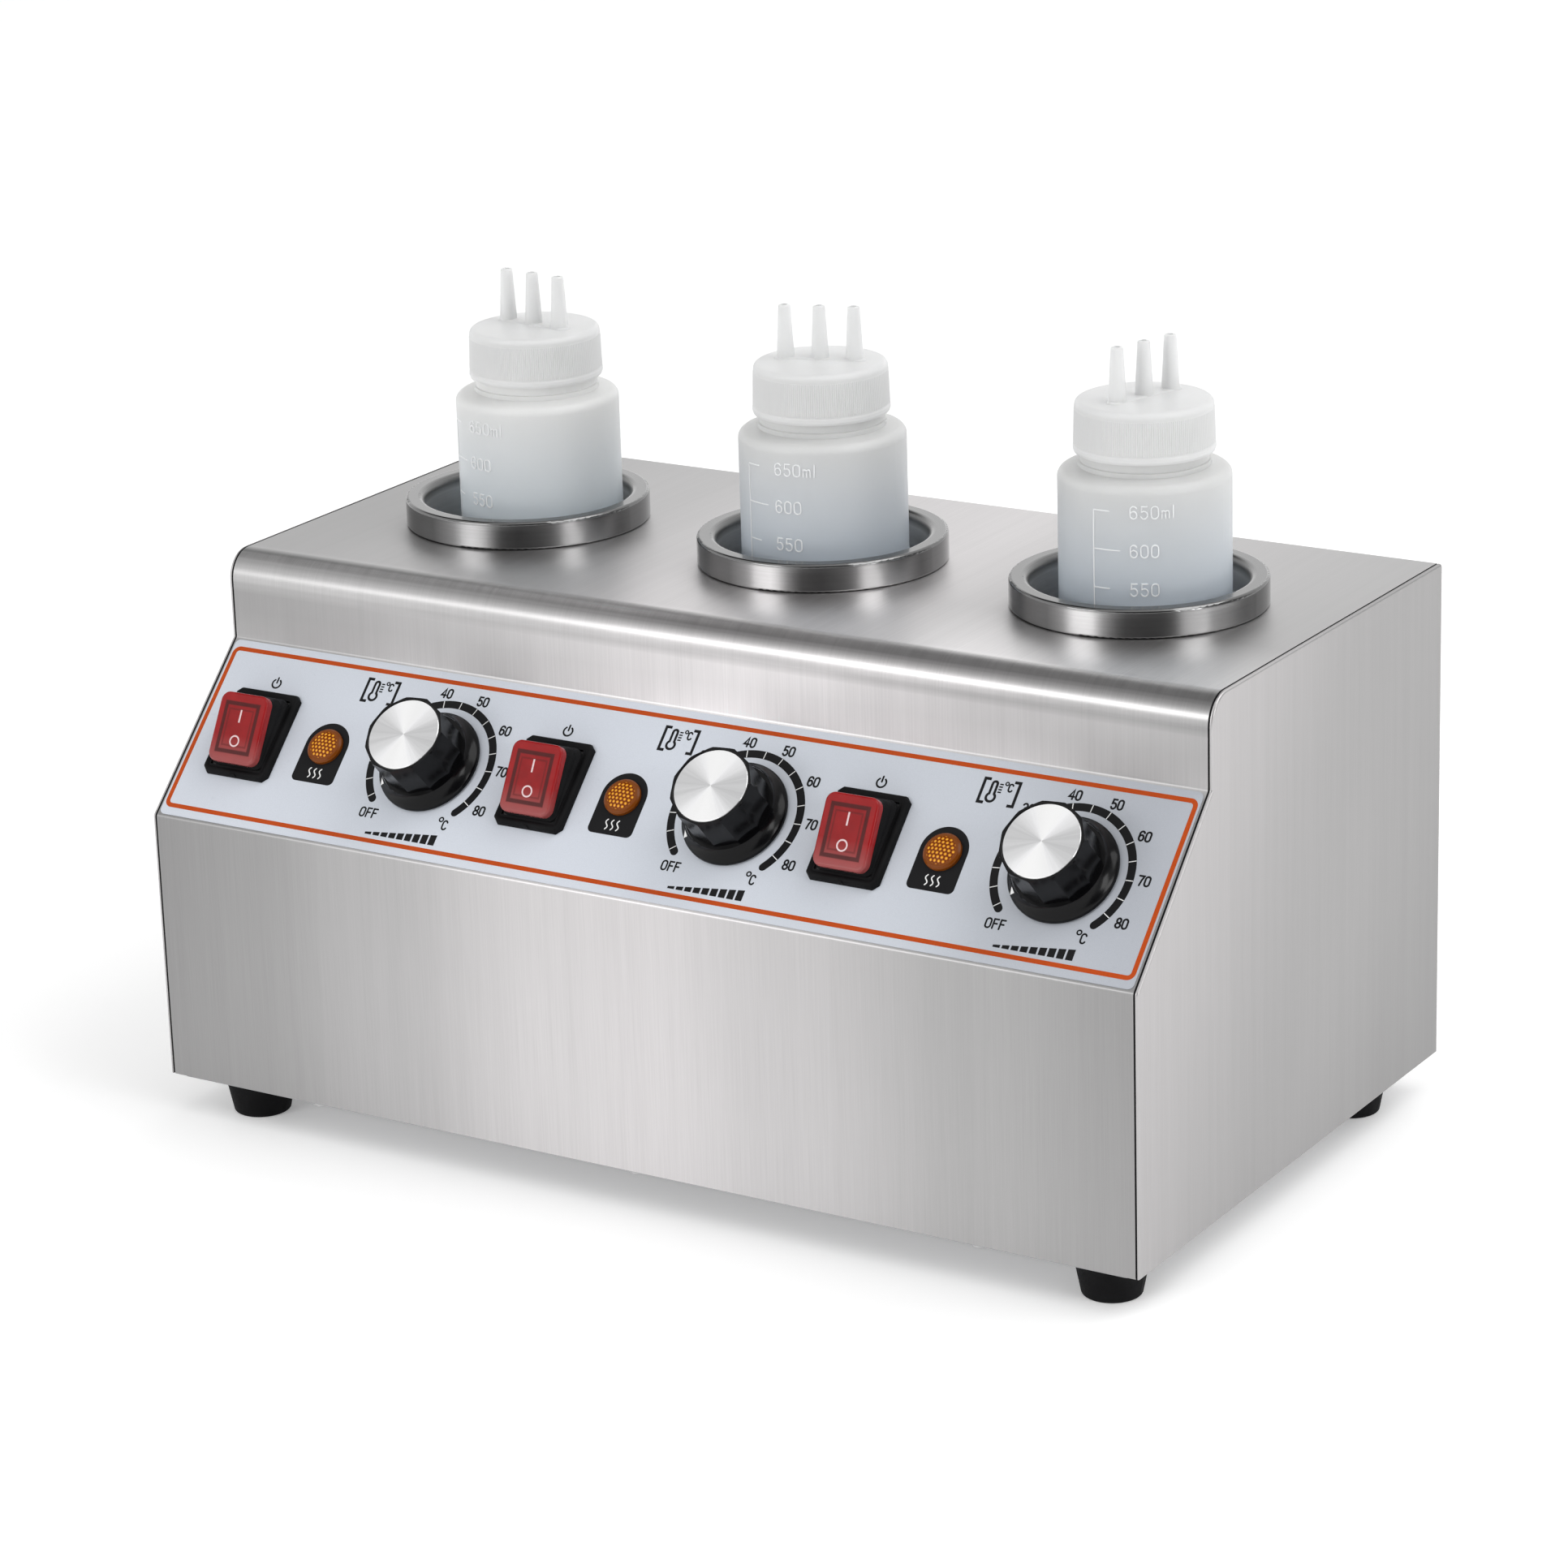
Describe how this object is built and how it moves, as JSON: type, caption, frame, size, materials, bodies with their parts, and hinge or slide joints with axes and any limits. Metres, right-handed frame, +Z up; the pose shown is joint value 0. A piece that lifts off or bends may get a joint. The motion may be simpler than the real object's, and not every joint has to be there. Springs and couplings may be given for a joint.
{
  "type": "bottle warmer",
  "caption": "Countertop warmer: folded stainless case with a sloped control panel, round heated wells in the top and a squeeze bottle with a multi-nozzle cap in each.",
  "frame": {"origin": "centre of the footprint, cable gland included, on the surface that the feet stand on", "axes": "+Z up, +X along the length to the right seen from the front, front face towards -Y"},
  "size_m": [0.44, 0.2676, 0.32],
  "materials": {
    "case_sheet": "vertical brushed stainless sheet",
    "base_sheet": "plain mill sheet",
    "overlay_film": "pale printed polyester film",
    "foot_rubber": "black moulded rubber",
    "screw_steel": "bright plated steel",
    "black_nylon": "black moulded nylon",
    "terminal_nylon": "natural white nylon",
    "bracket_steel": "zinc plated steel",
    "insulation": "white glass fibre sleeve",
    "wire_jacket": "silicone insulated wire",
    "well_steel": "spun stainless, satin rim",
    "heater_silicone": "orange red silicone heater mat",
    "thermostat_case": "plated steel and brass",
    "boot_rubber": "black moulded rubber",
    "amber_lens": "translucent amber",
    "bottle_plastic": "milky translucent polyethylene",
    "cap_plastic": "milky translucent polyethylene",
    "knob_plastic": "black glossy moulding",
    "knob_disc": "radially spun aluminium",
    "spindle_steel": "turned steel",
    "rocker_core": "dark red moulding",
    "rocker_red": "translucent red moulding"
  },
  "bodies": {
    "cabinet": {"front_top_shell": "case_sheet", "left_side_panel": "case_sheet", "right_side_panel": "case_sheet", "rear_panel": "case_sheet", "base_plate": "base_sheet", "control_overlay": "overlay_film", "feet": "foot_rubber", "foot_fasteners": "screw_steel", "base_screws": "screw_steel", "rear_screws": "screw_steel", "cable_gland": "black_nylon", "gland_nut": "black_nylon", "terminal_block": "terminal_nylon", "earth_stud": "screw_steel", "well_retaining_rings": "bracket_steel", "insulation_sleeves": "insulation", "spindle_nuts": "bracket_steel", "wiring_harness": "wire_jacket", "well_1": "well_steel", "heater_band_1": "heater_silicone", "thermostat_1": "thermostat_case", "switch_housing_1": "black_nylon", "switch_boot_1": "boot_rubber", "lamp_body_1": "black_nylon", "lamp_lens_1": "amber_lens", "well_2": "well_steel", "heater_band_2": "heater_silicone", "thermostat_2": "thermostat_case", "switch_housing_2": "black_nylon", "switch_boot_2": "boot_rubber", "lamp_body_2": "black_nylon", "lamp_lens_2": "amber_lens", "well_3": "well_steel", "heater_band_3": "heater_silicone", "thermostat_3": "thermostat_case", "switch_housing_3": "black_nylon", "switch_boot_3": "boot_rubber", "lamp_body_3": "black_nylon", "lamp_lens_3": "amber_lens"},
    "squeeze_bottle_1": {"bottle_1": "bottle_plastic"},
    "nozzle_cap_1": {"bottle_cap_1": "cap_plastic"},
    "dial_1": {"knob_1": "knob_plastic", "knob_cap_1": "knob_disc", "spindle_1": "spindle_steel"},
    "rocker_1": {"rocker_core_1": "rocker_core", "rocker_cap_1": "rocker_red"},
    "squeeze_bottle_2": {"bottle_2": "bottle_plastic"},
    "nozzle_cap_2": {"bottle_cap_2": "cap_plastic"},
    "dial_2": {"knob_2": "knob_plastic", "knob_cap_2": "knob_disc", "spindle_2": "spindle_steel"},
    "rocker_2": {"rocker_core_2": "rocker_core", "rocker_cap_2": "rocker_red"},
    "squeeze_bottle_3": {"bottle_3": "bottle_plastic"},
    "nozzle_cap_3": {"bottle_cap_3": "cap_plastic"},
    "dial_3": {"knob_3": "knob_plastic", "knob_cap_3": "knob_disc", "spindle_3": "spindle_steel"},
    "rocker_3": {"rocker_core_3": "rocker_core", "rocker_cap_3": "rocker_red"}
  },
  "joints": [
    {"name": "bottle_1_lift", "type": "slide", "parent": "cabinet", "child": "squeeze_bottle_1", "axis": [0, 0, 1], "range_m": [0, 0.19]},
    {"name": "cap_1_lift", "type": "slide", "parent": "squeeze_bottle_1", "child": "nozzle_cap_1", "axis": [0, 0, 1], "range_m": [0, 0.06]},
    {"name": "dial_1_turn", "type": "hinge", "parent": "cabinet", "child": "dial_1", "pos_m": [-0.104, -0.10433, 0.15509], "axis": [0, 0.7071, -0.7071], "range_deg": [0, 250]},
    {"name": "rocker_1_press", "type": "hinge", "parent": "cabinet", "child": "rocker_1", "pos_m": [-0.1895, -0.10652, 0.15586], "axis": [-1, 0, 0], "range_deg": [0, 33]},
    {"name": "bottle_2_lift", "type": "slide", "parent": "cabinet", "child": "squeeze_bottle_2", "axis": [0, 0, 1], "range_m": [0, 0.19]},
    {"name": "cap_2_lift", "type": "slide", "parent": "squeeze_bottle_2", "child": "nozzle_cap_2", "axis": [0, 0, 1], "range_m": [0, 0.06]},
    {"name": "dial_2_turn", "type": "hinge", "parent": "cabinet", "child": "dial_2", "pos_m": [0.0355, -0.10433, 0.15509], "axis": [0, 0.7071, -0.7071], "range_deg": [0, 250]},
    {"name": "rocker_2_press", "type": "hinge", "parent": "cabinet", "child": "rocker_2", "pos_m": [-0.05, -0.10652, 0.15586], "axis": [-1, 0, 0], "range_deg": [0, 33]},
    {"name": "bottle_3_lift", "type": "slide", "parent": "cabinet", "child": "squeeze_bottle_3", "axis": [0, 0, 1], "range_m": [0, 0.19]},
    {"name": "cap_3_lift", "type": "slide", "parent": "squeeze_bottle_3", "child": "nozzle_cap_3", "axis": [0, 0, 1], "range_m": [0, 0.06]},
    {"name": "dial_3_turn", "type": "hinge", "parent": "cabinet", "child": "dial_3", "pos_m": [0.175, -0.10433, 0.15509], "axis": [0, 0.7071, -0.7071], "range_deg": [0, 250]},
    {"name": "rocker_3_press", "type": "hinge", "parent": "cabinet", "child": "rocker_3", "pos_m": [0.0895, -0.10652, 0.15586], "axis": [-1, 0, 0], "range_deg": [0, 33]}
  ]
}
